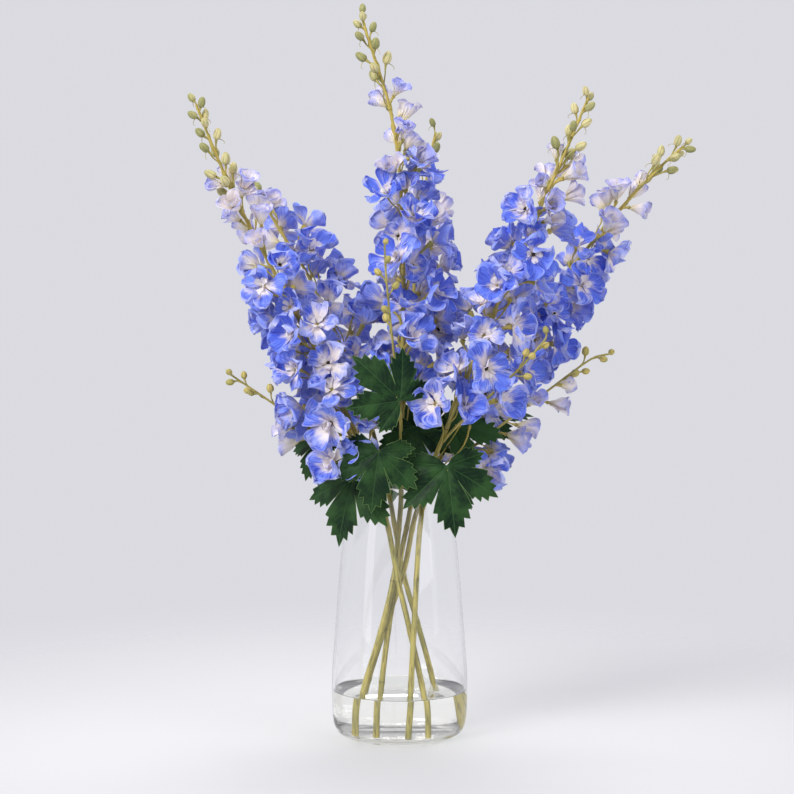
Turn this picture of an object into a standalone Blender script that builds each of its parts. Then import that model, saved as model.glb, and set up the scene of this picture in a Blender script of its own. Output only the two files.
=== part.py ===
"""Six cut delphinium stems standing in a tapered clear glass vase with a little water.

Each stem is one olive body with its side shoot, flower stalks and green buds. Its open
blue florets and its half-open pale florets are two more bodies, each grown from a thin
sleeve that fits round the stem. Every leaf is a body of its own.
"""

import math

import bmesh
import bpy
import numpy as np
from mathutils import Matrix, Vector

# Driving dimensions, in metres
MM = 0.001
GAP = 0.0003
VASE_HEIGHT = 0.299
RIM_RADIUS = 0.0548
BELLY_RADIUS = 0.0795
FOOT_RADIUS = 0.058
GLASS_WALL = 0.003
GLASS_FLOOR = 0.009
WATER_LEVEL = 0.055
VASE_SIDES = 24
STEM_RADIUS = 0.0034
TIP_RADIUS = 0.0014
SHOOT_RADIUS = 0.0014
STALK_RADIUS = 0.0010
PETAL_THICKNESS = 0.0011
PETAL_NOTCH = 0.72
LEAF_NOTCH = 0.34
LEAF_HEEL = 0.16
LEAF_DROOP = 0.28
LEAF_THICKNESS = 0.0009
LEAF_STALK_RADIUS = 0.0013
SLEEVE_WALL = 0.0011
CLEARANCE = 0.0006
RING_SPACING = 0.062
GOLDEN_ANGLE = math.radians(137.5)

# The vase's outer wall below the rim, as (share of the height, share of the belly's radius)
VASE_WALL = ((0.87, 0.770), (0.75, 0.843), (0.42, 0.950), (0.22, 0.997), (0.085, 0.987), (0.03, 0.935),
             (0.007, 0.83))

# Points that each stem passes through, in millimetres, from its cut foot to its tip
STEM_POINTS = {
    "left_front": [(31, -52, 9.8), (28, -49, 55), (12, -40, 130), (-2, -31, 190), (-13, -22, 248),
                   (-25, -13, 292), (-41, -20, 337), (-82, -30, 427), (-122, -40, 508),
                   (-159, -47, 577), (-193, -52, 646), (-219, -58, 709), (-230, -60, 738)],
    "left_back": [(44, 38, 9.8), (40, 36, 55), (22, 31, 125), (5, 27, 185), (-6, 24, 245),
                  (-14, 22, 287), (-39, 42, 379), (-77, 58, 472), (-110, 66, 540),
                  (-147, 70, 599), (-162, 70, 629)],
    "centre_front": [(-47, -40, 9.8), (-43, -38, 55), (-20, -30, 135), (-6, -17, 195), (-1, -8, 245),
                     (2, 1, 290), (3, -4, 396), (4, -8, 547), (0, -10, 657), (-12, -10, 736),
                     (-34, -6, 806), (-43, -5, 836)],
    "centre_back": [(-24, -40, 9.8), (-22, -38, 55), (-13, -24, 130), (-2, -7, 190), (4, 4, 225),
                    (12, 19, 262), (15, 28, 292), (14, 65, 412), (16, 90, 500), (23, 108, 587),
                    (36, 118, 670), (43, 120, 703)],
    "right_front": [(9, -57, 9.8), (12, -55, 55), (16, -48, 130), (20, -34, 205), (24, -24, 255),
                    (32, -14, 304), (58, -30, 376), (92, -44, 463), (123, -55, 539),
                    (156, -64, 614), (188, -68, 687), (212, -70, 745)],
    "right_back": [(-44, -20, 9.8), (-40, -18, 55), (-17, -5, 130), (5, 5, 195), (18, 3, 258),
                   (36, 7, 300), (59, 20, 346), (118, 38, 434), (174, 52, 510), (224, 60, 573),
                   (270, 62, 627), (314, 61, 672), (333, 60, 688)],
}

# Side shoots, in millimetres, from where each leaves its stem to its tip
SHOOT_POINTS = {
    "left_front": [(-37, -18, 326), (-63, -20, 340), (-115, -24, 373), (-158, -34, 404),
                   (-194, -44, 430)],
    "centre_front": [(2, 0, 318), (1, -19, 346), (0, -38, 392), (-7, -56, 459), (-15, -68, 540),
                     (-17, -70, 579)],
    "right_front": [(50, -26, 350), (64, -40, 368), (103, -62, 407), (140, -90, 446), (165, -98, 476)],
    "right_back": [(37, 9, 304), (59, 4, 320), (111, 6, 360), (171, 13, 404), (222, 18, 441),
                   (243, 20, 447)],
}

# Petals, radius and depth of the cup of an open and a half-open floret, how far its back reaches
# as a share of the radius, and how high its throat lies as a share of the depth
FLORET_SHAPE = {"blue": (5, 0.0280, 0.0090, 0.22, 0.10), "pale": (4, 0.0135, 0.0205, 0.10, 0.40)}

# Length and width of a spike's bud and of a side shoot's rounder one
BUD_SHAPE = {"bud": (0.0140, 0.0100), "round": (0.0095, 0.0082)}

# By what share a floret that is shut narrows, and by what share its cup deepens
SHUT_NARROWS = 0.22
SHUT_DEEPENS = 1.1

# Zones down each spike: (from, to, how many, where the first stands), the first two in metres
# below the tip, the fourth an angle in degrees round the stem. A fifth value is the side that most
# of the flowers stand on, and a sixth says how far they draw round to it: their angles from that
# side are multiplied by it.
ZONES = {
    "left_front": {"bud": (0.002, 0.123, 14, 70), "pale": (0.112, 0.196, 6, 60, 180, 0.6),
                   "blue": (0.228, 0.456, 18, 120, 0, 0.5)},
    "left_back": {"bud": (0.002, 0.010, 2, 300), "pale": (0.034, 0.044, 2, 280, 180, 0.6),
                  "blue": (0.064, 0.258, 10, 0, 180, 0.5)},
    "centre_front": {"bud": (0.002, 0.088, 11, 130), "pale": (0.112, 0.196, 6, 230, 180, 0.6),
                     "blue": (0.206, 0.442, 15, 210, 180, 0.75)},
    "centre_back": {"bud": (0.002, 0.058, 4, 340), "pale": (0.093, 0.140, 3, 0, 180, 0.6),
                    "blue": (0.160, 0.272, 5, 90, 180, 0.5)},
    "right_front": {"bud": (0.002, 0.090, 10, 320), "pale": (0.096, 0.152, 5, 110, 180, 0.6),
                    "blue": (0.166, 0.420, 15, 350, 180, 0.75)},
    "right_back": {"bud": (0.002, 0.063, 9, 70), "pale": (0.102, 0.160, 4, 150, 0, 0.6),
                   "blue": (0.180, 0.368, 13, 190, 180, 0.75)},
}
SHOOT_ZONES = {
    "left_front": {"round": (0.002, 0.060, 6, 240), "pale": (0.112, 0.132, 2, 280, 0, 0.6)},
    "centre_front": {"round": (0.002, 0.100, 6, 100)},
    "right_front": {"round": (0.002, 0.060, 5, 0)},
    "right_back": {"round": (0.002, 0.060, 5, 80), "low_pale": (0.078, 0.164, 5, 70, 180, 0.6),
                   "low_blue": (0.186, 0.216, 3, 90, 180, 0.6)},
}

# How each kind of flower stands: stalk length and lean at the zone's top and at its bottom,
# how far it looks up the stem, its size at the top and at the bottom, how far it nods to any side,
# and how far the flowers that have yet to open are shut
HABIT = {
    "bud": {"stalk": (0.008, 0.020), "lean": (25, 38), "up": 1.3, "size": (0.80, 1.12), "nod": 0.2,
            "shut": 0},
    "round": {"stalk": (0.006, 0.014), "lean": (35, 50), "up": 1.0, "size": (0.90, 1.12), "nod": 0.2,
              "shut": 0},
    "pale": {"stalk": (0.020, 0.030), "lean": (34, 44), "up": 0.9, "size": (0.90, 1.15), "nod": 0.25,
             "shut": 0},
    "blue": {"stalk": (0.037, 0.050), "lean": (46, 63), "up": 0.50, "size": (0.90, 1.05), "nod": 0.4,
             "shut": 1},
    "low_pale": {"stalk": (0.012, 0.018), "lean": (50, 60), "up": 0.8, "size": (0.90, 1.10), "nod": 0.3,
                 "shut": 0},
    "low_blue": {"stalk": (0.030, 0.036), "lean": (80, 95), "up": 0.0, "size": (0.90, 1.00), "nod": 0.3,
                 "shut": 1},
}

# Leaves: the stem that carries each, how high its stalk leaves that stem, where the blade starts,
# where the middle lobe's tip lies, which way the upper face looks, and the blade's length, in mm
LEAVES = (
    ("centre_front", 352, (0, -84, 404), (-40, -96, 450), (0.1, -1.0, 0.45), 72),
    ("centre_front", 326, (16, -12, 366), (20, -36, 312), (0.05, -1.0, 0.25), 62),
    ("left_front", 306, (-24, -68, 344), (-34, -84, 280), (-0.1, -1.0, 0.3), 70),
    ("right_front", 300, (54, -56, 326), (66, -86, 252), (0.1, -1.0, 0.4), 80),
    ("left_front", 296, (-52, -36, 310), (-80, -52, 240), (-0.5, -0.9, 0.4), 80),
    ("left_front", 314, (-94, 8, 346), (-116, 2, 304), (-0.5, -0.8, 0.3), 48),
    ("left_back", 292, (-56, 46, 306), (-100, 66, 288), (-0.3, 0.3, 0.9), 54),
    ("centre_back", 296, (8, 66, 322), (-6, 112, 286), (0.0, 0.6, 0.9), 78),
    ("right_back", 330, (86, 44, 372), (142, 52, 384), (0.1, -0.4, 0.9), 72),
    ("right_back", 298, (58, 48, 306), (92, 84, 258), (0.5, 0.6, 0.6), 62),
    ("right_front", 308, (60, -4, 368), (96, -14, 364), (0.1, -0.9, 0.6), 62),
    ("centre_back", 318, (32, 16, 356), (44, 6, 404), (0.1, -1.0, 0.15), 50),
)


def clear_scene():
    for old in list(bpy.data.objects):
        bpy.data.objects.remove(old, do_unlink=True)


def material(name, colour, roughness, transmission=0.0, refraction=1.45):
    made = bpy.data.materials.new(name)
    made.use_nodes = True
    shader = made.node_tree.nodes["Principled BSDF"]
    shader.inputs["Base Color"].default_value = (*colour, 1.0)
    shader.inputs["Roughness"].default_value = roughness
    shader.inputs["Metallic"].default_value = 0.0
    shader.inputs["Transmission Weight"].default_value = transmission
    shader.inputs["IOR"].default_value = refraction
    return made


def unit(vectors):
    vectors = np.asarray(vectors, float)
    return vectors / np.linalg.norm(vectors, axis=-1, keepdims=True)


class Route:
    """A Catmull-Rom curve through points given in millimetres, read by distance from its start."""

    def __init__(self, points):
        knots = np.array(points, float) * MM
        knots = np.vstack([2 * knots[0] - knots[1], knots, 2 * knots[-1] - knots[-2]])
        t = np.linspace(0, 1, 24, endpoint=False)[:, None]
        runs = []
        for a, b, c, d in zip(knots, knots[1:], knots[2:], knots[3:]):
            runs.append(0.5 * (2 * b + (c - a) * t + (2 * a - 5 * b + 4 * c - d) * t**2
                               + (3 * b - a - 3 * c + d) * t**3))
        self.points = np.vstack([*runs, knots[-2:-1]])
        steps = np.linalg.norm(np.diff(self.points, axis=0), axis=1)
        self.along = np.concatenate([[0], np.cumsum(steps)])
        self.length = self.along[-1]

    def at(self, distance):
        distance = np.asarray(distance, float)
        return np.stack([np.interp(distance, self.along, axis) for axis in self.points.T], -1)

    def at_height(self, height):
        return self.at(np.interp(height, self.points[:, 2], self.along))

    def heading(self, distance):
        reach = 0.002
        return unit(self.at(np.minimum(distance + reach, self.length))
                    - self.at(np.maximum(distance - reach, 0)))


def flowers(route, zone, kind, seed):
    """Where each flower of one zone stands: the foot of its stalk, its head, the way it looks, its
    turn about that way, its size and how far it is shut. Each stands 137.5 degrees round from the
    last."""
    start, end, count, first, *side_and_draw = zone
    draws = np.random.default_rng(seed).uniform(-1, 1, (count, 5))
    nods = np.random.default_rng(seed + 500).uniform(-1, 1, (count, 4))
    share = np.linspace(0, 1, count) if count > 1 else np.array([0.5])
    habit = HABIT[kind]
    below_tip = start + (end - start) * share + 0.002 * draws[:, 0]
    distance = route.length - np.maximum(below_tip, 0.001)
    foot = route.at(distance)
    along = route.heading(distance)
    side = unit(np.cross(along, (0.0, 1.0, 0.0)))
    front = np.cross(side, along)
    azimuth = math.radians(first) + GOLDEN_ANGLE * np.arange(count) + 0.2 * draws[:, 1]
    if side_and_draw:
        outer = math.radians(side_and_draw[0])
        azimuth = outer + side_and_draw[1] * ((azimuth - outer + math.pi) % math.tau - math.pi)
    out = side * np.cos(azimuth)[:, None] + front * np.sin(azimuth)[:, None]
    lean = np.radians(np.interp(share, (0, 1), habit["lean"]) + 5 * draws[:, 2])
    reach = np.interp(share, (0, 1), habit["stalk"]) * (1 + 0.12 * draws[:, 3])
    way = along * np.cos(lean)[:, None] + out * np.sin(lean)[:, None]
    head = foot + way * reach[:, None]
    look = unit(out + along * habit["up"] + habit["nod"] * nods[:, :3])
    size = np.interp(share, (0, 1), habit["size"]) * (1 + 0.08 * draws[:, 4])
    shut = habit["shut"] * np.clip(nods[:, 3], 0, 1)
    return [dict(foot=f, head=h, look=n, turn=a, size=s, shut=c, seed=seed * 100 + i)
            for i, (f, h, n, a, s, c) in enumerate(zip(foot, head, look, azimuth, size, shut))]


def facing(look, place, turn=0.0):
    """A matrix that carries +Z to the way given and the origin to the place given."""
    spin = Vector(look).to_track_quat("Z", "Y").to_matrix().to_4x4() @ Matrix.Rotation(turn, 4, "Z")
    return Matrix.Translation(Vector(place)) @ spin


def mesh_object(name, points, faces, collection, place=Matrix()):
    mesh = bpy.data.meshes.new(name)
    mesh.from_pydata([tuple(p) for p in points], [], [tuple(f) for f in faces])
    mesh.transform(place)
    made = bpy.data.objects.new(name, mesh)
    collection.objects.link(made)
    return made


def ring(sides, radius, place, turn=0.0):
    """Points evenly round +Z of the place given."""
    angle = turn + math.tau * np.arange(sides) / sides
    flat = np.stack([radius * np.cos(angle), radius * np.sin(angle), 0 * angle, 1 + 0 * angle], 1)
    return (flat @ np.array(place).T)[:, :3]


def loft(name, rings, tip, collection):
    """A closed body over rings of points, each listed the same way round: a flat cap on the
    first, triangles shared out by angle between neighbours, and a point above the last."""
    points = np.vstack([*rings, [tip]])
    starts = np.cumsum([0] + [len(r) for r in rings])
    faces = [(0, i + 1, i) for i in range(1, len(rings[0]) - 1)]
    for lower, upper, a, b in zip(rings, rings[1:], starts, starts[1:]):
        i = j = 0
        while i < len(lower) or j < len(upper):
            here, above = a + i % len(lower), b + j % len(upper)
            if (i + 1) * len(upper) <= (j + 1) * len(lower):
                i += 1
                faces.append((here, a + i % len(lower), above))
            else:
                j += 1
                faces.append((here, b + j % len(upper), above))
    last = len(rings[-1])
    faces += [(starts[-2] + i, starts[-2] + (i + 1) % last, len(points) - 1) for i in range(last)]
    return mesh_object(name, points, faces, collection)


def floret(spot, kind, collection, grow=0.0):
    """A floret on its own stalk: a cup of pointed petals with a notch between each two, and a
    solid throat that narrows at the back into a three-sided stalk down to the stem."""
    petals, radius, depth, neck, throat = FLORET_SHAPE[kind.removeprefix("low_")]
    radius *= spot["size"] * (1 - SHUT_NARROWS * spot["shut"])
    depth *= spot["size"] * (1 + SHUT_DEEPENS * spot["shut"])
    draws = np.random.default_rng(spot["seed"]).uniform(-1, 1, (petals, 2))
    place = facing(spot["look"], spot["head"], spot["turn"])
    angle = math.pi / petals * np.arange(2 * petals)
    reach = np.where(np.arange(2 * petals) % 2, PETAL_NOTCH * radius, radius)
    height = np.where(np.arange(2 * petals) % 2, 0.62 * depth, depth)
    reach[::2] += 0.10 * radius * draws[:, 0]
    height[::2] += 0.25 * depth * draws[:, 1]

    def rim(out, lift):
        flat = [(reach + out) * np.cos(angle), (reach + out) * np.sin(angle), height + lift, 1 + 0 * angle]
        return (np.stack(flat, 1) @ np.array(place).T)[:, :3]

    neck_place = place @ Matrix.Translation((0, 0, -neck * radius - grow))
    collar = ring(3, STALK_RADIUS + 2 * grow, neck_place)
    foot = collar + (spot["foot"] - collar.mean(axis=0))
    rings = [foot, collar, rim(1.5 * grow, -PETAL_THICKNESS - 2 * grow), rim(0, 1.5 * grow)]
    return loft("floret", rings, place @ Vector((0, 0, throat * depth + grow)), collection)


def bud(spot, kind, collection, grow=0.0):
    """A closed bud with four sides, one body with its own three-sided stalk."""
    length, width = BUD_SHAPE[kind]
    length *= spot["size"]
    width *= spot["size"]
    place = facing(spot["look"], spot["head"], spot["turn"])

    def level(sides, radius, height):
        return ring(sides, radius, place @ Matrix.Translation((0, 0, height)))

    collar = level(3, STALK_RADIUS + 2 * grow, -grow)
    foot = collar + (spot["foot"] - collar.mean(axis=0))
    rings = [foot, collar, level(4, width / 2 + 1.5 * grow, 0.34 * length),
             level(4, 0.40 * width + 1.5 * grow, 0.72 * length)]
    return loft("bud", rings, place @ Vector((0, 0, length + grow)), collection)


def tube(name, points, radii, collection, sides=6):
    """A round stem as a bevelled curve with filled caps, made a mesh with its caps welded on."""
    curve = bpy.data.curves.new(name, "CURVE")
    curve.dimensions = "3D"
    curve.bevel_depth = 1.0
    curve.bevel_resolution = (sides - 4) // 2
    curve.use_fill_caps = True
    line = curve.splines.new("POLY")
    line.points.add(len(points) - 1)
    for spot, point, radius in zip(line.points, points, radii):
        spot.co = (*point, 1)
        spot.radius = radius
    guide = bpy.data.objects.new(name + "_guide", curve)
    collection.objects.link(guide)
    bpy.context.view_layer.update()
    mesh = bpy.data.meshes.new_from_object(guide.evaluated_get(bpy.context.evaluated_depsgraph_get()))
    bpy.data.objects.remove(guide)
    shape = bmesh.new()
    shape.from_mesh(mesh)
    bmesh.ops.remove_doubles(shape, verts=shape.verts, dist=1e-5)
    bmesh.ops.recalc_face_normals(shape, faces=shape.faces)
    shape.to_mesh(mesh)
    shape.free()
    made = bpy.data.objects.new(name, mesh)
    collection.objects.link(made)
    return made


def stem_radius(route, distance):
    share = np.asarray(distance) / route.length
    return STEM_RADIUS + (TIP_RADIUS - STEM_RADIUS) * np.clip(share, 0, 1) ** 1.3


def stem_tube(name, route, start, end, extra, collection):
    """The stretch of a stem's surface between two distances, made wider by extra."""
    marks = np.arange(0, route.length, RING_SPACING)
    inside = marks[(marks > start + 0.2 * RING_SPACING) & (marks < end - 0.2 * RING_SPACING)]
    distance = np.concatenate([[start], inside, [end]])
    return tube(name, route.at(distance), stem_radius(route, distance) + extra, collection)


def shoot_tube(name, route, extra, collection):
    distance = np.linspace(0, route.length, 8)
    radii = np.linspace(SHOOT_RADIUS + 0.0004, SHOOT_RADIUS - 0.0003, len(distance)) + extra
    return tube(name, route.at(distance), radii, collection)


def apply_modifiers(made):
    bpy.context.view_layer.update()
    graph = bpy.context.evaluated_depsgraph_get()
    mesh = bpy.data.meshes.new_from_object(made.evaluated_get(graph))
    made.modifiers.clear()
    made.data = mesh


def combine(made, collection, operation):
    """Joins or cuts an object with every object of a collection, then empties the collection."""
    if collection.objects:
        boolean = made.modifiers.new(operation.title(), "BOOLEAN")
        boolean.operation = operation
        boolean.operand_type = "COLLECTION"
        boolean.collection = collection
        boolean.solver = "MANIFOLD"
        apply_modifiers(made)
    for old in list(collection.objects):
        bpy.data.objects.remove(old, do_unlink=True)


def keep_main_body(made):
    """Drops loose scraps and fills sealed hollows: only the body with the most volume stays."""
    shape = bmesh.new()
    shape.from_mesh(made.data)
    bmesh.ops.triangulate(shape, faces=shape.faces)
    left = set(shape.verts)
    bodies = []
    while left:
        queue = [left.pop()]
        body = set(queue)
        while queue:
            for edge in queue.pop().link_edges:
                for point in edge.verts:
                    if point in left:
                        left.discard(point)
                        body.add(point)
                        queue.append(point)
        faces = {face for point in body for face in point.link_faces}
        volume = sum(f.verts[0].co.dot(f.verts[1].co.cross(f.verts[2].co)) for f in faces)
        bodies.append((volume, body))
    bodies.sort(key=lambda pair: pair[0])
    for _, body in bodies[:-1]:
        bmesh.ops.delete(shape, geom=list(body), context="VERTS")
    shape.to_mesh(made.data)
    shape.free()


def box_of(made):
    corners = np.array([point.co for point in made.data.vertices])
    return corners.min(axis=0), corners.max(axis=0)


def cut_clear(made, others, cutters):
    """Cuts an object clear of the widened twins of its neighbours whose boxes reach into its own."""
    low, high = box_of(made)
    for twin in others:
        twin_low, twin_high = box_of(twin)
        if (low < twin_high).all() and (twin_low < high).all():
            copy = bpy.data.objects.new(twin.name + "_cutter", twin.data)
            cutters.objects.link(copy)
            combine(made, cutters, "DIFFERENCE")
    keep_main_body(made)


def finish(made, finish_material, collection):
    for owner in list(made.users_collection):
        owner.objects.unlink(made)
    collection.objects.link(made)
    made.data.materials.clear()
    made.data.materials.append(finish_material)
    made.data.shade_smooth()
    made.data.set_sharp_from_angle(angle=math.radians(35))


def turned(name, profile, sides, collection):
    """A turned body: its profile of (radius, height), swept once round the upright axis."""
    mesh = bpy.data.meshes.new(name)
    mesh.from_pydata([(r, 0, z) for r, z in profile], [(i, i + 1) for i in range(len(profile) - 1)], [])
    made = bpy.data.objects.new(name, mesh)
    collection.objects.link(made)
    screw = made.modifiers.new("Turn", "SCREW")
    screw.axis = "Z"
    screw.steps = sides
    screw.render_steps = sides
    screw.use_merge_vertices = True
    screw.merge_threshold = 0.00005
    apply_modifiers(made)
    return made


def wall_points(inset):
    """The vase's wall from just below the rim down to the rounded foot, moved in by inset."""
    return [(BELLY_RADIUS * r - inset, VASE_HEIGHT * h) for h, r in VASE_WALL]


def inner_wall(inset):
    """The inside of the vase from its rim to the middle of its floor, moved in by inset."""
    floor = GLASS_FLOOR + inset
    down = [p for p in wall_points(GLASS_WALL + inset) if p[1] > 2.5 * GLASS_FLOOR]
    rounded = [(BELLY_RADIUS * 0.905 - inset, floor + 0.0045), (BELLY_RADIUS * 0.80 - inset, floor)]
    return down + rounded + [(0, floor)]


def make_vase(work):
    inside = [(RIM_RADIUS - GLASS_WALL, VASE_HEIGHT), *inner_wall(0)]
    outside = [(RIM_RADIUS, VASE_HEIGHT), *wall_points(0), (FOOT_RADIUS, 0), (0, 0)]
    return turned("vase", inside[::-1] + outside, VASE_SIDES, work)


def make_water(work, cutters, routes):
    """The water fills the vase to its level, with a plain hole round every stem."""
    wet = inner_wall(GAP)
    below = [p for p in wet if p[1] < WATER_LEVEL - 0.003]
    above = [p for p in wet if p[1] >= WATER_LEVEL - 0.003]
    edge = np.interp(WATER_LEVEL, [below[0][1], above[-1][1]], [below[0][0], above[-1][0]])
    made = turned("water", [(0, WATER_LEVEL), (edge, WATER_LEVEL), *below], VASE_SIDES, work)
    for name, route in routes.items():
        hole = stem_tube("hole", route, 0, 2 * RING_SPACING, GAP, cutters)
        along = Vector(unit(route.at(RING_SPACING) - route.at(0)))
        for point in hole.data.vertices:
            if point.co.z < 0.5 * WATER_LEVEL:
                point.co -= along * GLASS_FLOOR
    combine(made, cutters, "DIFFERENCE")
    keep_main_body(made)
    return made


def buds_on(route, zone, kind, seed, parts, grow):
    for spot in flowers(route, zone, kind, seed):
        bud(spot, kind, parts, grow)


def make_stem(name, seed, route, shoot, work, parts, grow=0.0):
    """One olive body: the stem, its side shoot and their closed buds on short stalks."""
    made = stem_tube("stem_" + name, route, 0, route.length, grow, work)
    if shoot:
        shoot_tube("shoot", shoot, grow, parts)
        buds_on(shoot, SHOOT_ZONES[name]["round"], "round", seed + 40, parts, grow)
    buds_on(route, ZONES[name]["bud"], "bud", seed, parts, grow)
    combine(made, parts, "UNION")
    keep_main_body(made)
    return made


def make_head(name, kind, seed, route, zone, radius_of, work, parts, cutters, grow=0.0):
    """The blue or the pale florets of one spike, on their stalks, grown from a sleeve round it."""
    start, end = zone[:2]
    upper = route.length - start + 0.004
    lower = route.length - end - 0.006
    made = radius_of(name, route, lower, upper, GAP + SLEEVE_WALL + grow, work)
    for spot in flowers(route, zone, kind, seed):
        floret(spot, kind, parts, grow)
    combine(made, parts, "UNION")
    if not grow:
        radius_of("core", route, lower - 0.03, upper + 0.03, GAP, cutters)
        combine(made, cutters, "DIFFERENCE")
    keep_main_body(made)
    return made


def leaf_blade(name, length, collection, place, grow=0.0):
    """A palmate leaf with five toothed lobes, one thin arched blade that starts at the origin and
    runs along +X with its upper face to +Z. Both faces are split into triangles alike."""
    lobes = ((-104, 0.60), (-54, 0.86), (0, 1.0), (54, 0.86), (104, 0.60))
    thick = LEAF_THICKNESS / 2 + grow

    def spot(angle, reach, rise=0.0):
        turn = math.radians(angle)
        far = reach * length
        droop = -LEAF_DROOP * far * reach
        return (far * math.cos(turn), far * math.sin(turn), droop + rise * length)

    points = [spot(0, 0)]
    rim = []
    top = []
    rim.append(len(points))
    points.append(spot(lobes[0][0] - 34, LEAF_HEEL))
    for k, (angle, reach) in enumerate(lobes):
        rib = len(points)
        points.append(spot(angle, 0.40 * reach, -0.02))
        first = rim[-1]
        outline = [spot(angle - 20, 0.70 * reach, 0.03), spot(angle - 12, 0.80 * reach, 0.01),
                   spot(angle, reach, 0.0), spot(angle + 12, 0.80 * reach, 0.01),
                   spot(angle + 20, 0.70 * reach, 0.03)]
        ahead = lobes[k + 1][0] if k + 1 < len(lobes) else angle + 68
        notch = LEAF_NOTCH if k + 1 < len(lobes) else LEAF_HEEL
        outline.append(spot((angle + ahead) / 2, notch, 0.02))
        for point in outline:
            rim.append(len(points))
            points.append(point)
            top.append((rib, rim[-2], rim[-1]))
        top += [(0, first, rib), (0, rib, rim[-1])]
    count = len(points)
    upper = np.array(points) + (0, 0, thick)
    lower = np.array(points) - (0, 0, thick)
    border = [0, *rim]
    faces = list(top) + [(a + count, c + count, b + count) for a, b, c in top]
    for a, b in zip(border, border[1:] + border[:1]):
        faces += [(a, a + count, b + count), (a, b + count, b)]
    return mesh_object(name, np.vstack([upper, lower]), faces, collection, place)


def make_leaf(name, route, height, start, tip, up, length, work, parts, grow=0.0):
    """One dark green leaf, its blade held on a bent stalk that leaves the stem at the height given."""
    root = Vector(route.at_height(height * MM))
    start, tip = (Vector(p) * MM for p in (start, tip))
    along = (tip - start).normalized()
    across = Vector(up).cross(along).normalized()
    normal = along.cross(across)
    place = Matrix((along, across, normal)).transposed().to_4x4()
    place.translation = start
    made = leaf_blade(name, length * MM, work, place, grow)
    bend = root.lerp(start, 0.6) + Vector((0, 0, 0.006))
    end = start + along * 0.006 - normal * 0.0004
    tube("leaf_stalk", [root, bend, end], [LEAF_STALK_RADIUS + grow] * 3, parts, 4)
    combine(made, parts, "UNION")
    keep_main_body(made)
    return made


def shoot_sleeve(name, route, start, end, extra, collection):
    distance = np.linspace(max(start, 0.0), min(end, route.length), 5)
    radii = SHOOT_RADIUS + 0.0004 + extra + 0 * distance
    return tube(name, route.at(distance), radii, collection)


def main():
    clear_scene()
    scene = bpy.context.scene.collection
    model = bpy.data.collections.new("delphinium_in_vase")
    cutters = bpy.data.collections.new("cutters")
    parts = bpy.data.collections.new("repeats")
    work = bpy.data.collections.new("work")
    for made in (model, cutters, parts, work):
        scene.children.link(made)

    glass = material("clear_glass", (0.93, 0.96, 0.96), 0.02, 1.0, 1.45)
    water = material("water", (0.97, 0.99, 1.0), 0.0, 1.0, 1.33)
    green = material("olive_stem", (0.33, 0.33, 0.09), 0.55)
    blue = material("blue_petal", (0.09, 0.16, 0.72), 0.55)
    pale = material("pale_petal", (0.76, 0.70, 0.86), 0.55)
    leaf = material("leaf_green", (0.02, 0.085, 0.03), 0.45)

    routes = {name: Route(points) for name, points in STEM_POINTS.items()}
    shoots = {name: Route(points) for name, points in SHOOT_POINTS.items()}

    finish(make_vase(work), glass, model)
    finish(make_water(work, cutters, routes), water, model)

    twins = []

    def settle(made, twin, finish_material):
        cut_clear(made, twins, cutters)
        finish(made, finish_material, model)
        twin.name = made.name + "_twin"
        twins.append(twin)

    for seed, name in enumerate(STEM_POINTS):
        shoot = shoots.get(name)
        made = make_stem(name, seed, routes[name], shoot, work, parts)
        twin = make_stem(name, seed, routes[name], shoot, work, parts, CLEARANCE)
        settle(made, twin, green)
    for number, (name, *shape) in enumerate(LEAVES, 1):
        made = make_leaf(f"leaf_{number:02d}", routes[name], *shape, work, parts)
        twin = make_leaf("leaf_twin", routes[name], *shape, work, parts, CLEARANCE)
        settle(made, twin, leaf)
    for seed, name in enumerate(STEM_POINTS):
        zone = ZONES[name]["pale"]
        args = ("pale", seed + 10, routes[name], zone, stem_tube, work, parts, cutters)
        settle(make_head("pale_florets_" + name, *args), make_head("twin", *args, CLEARANCE), pale)
    for seed, name in enumerate(SHOOT_ZONES):
        for kind, first_seed, petal in (("pale", 50, pale), ("low_pale", 50, pale), ("low_blue", 60, blue)):
            if kind in SHOOT_ZONES[name]:
                head = f"{kind.removeprefix('low_')}_florets_low_{name}"
                zone = SHOOT_ZONES[name][kind]
                args = (kind, seed + first_seed, shoots[name], zone, shoot_sleeve, work, parts, cutters)
                settle(make_head(head, *args), make_head("twin", *args, CLEARANCE), petal)
    for seed, name in enumerate(STEM_POINTS):
        zone = ZONES[name]["blue"]
        args = ("blue", seed + 20, routes[name], zone, stem_tube, work, parts, cutters)
        settle(make_head("blue_florets_" + name, *args), make_head("twin", *args, CLEARANCE), blue)

    for helper in twins:
        bpy.data.objects.remove(helper, do_unlink=True)
    for empty in (parts, work):
        bpy.data.collections.remove(empty)
    cutters.hide_render = True


main()
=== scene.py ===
"""Cut delphiniums in a tapered clear glass vase: the looks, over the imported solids. Metres, +Z up."""
import math

import bmesh
import bpy
import numpy as np
from mathutils import Matrix, Vector


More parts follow.
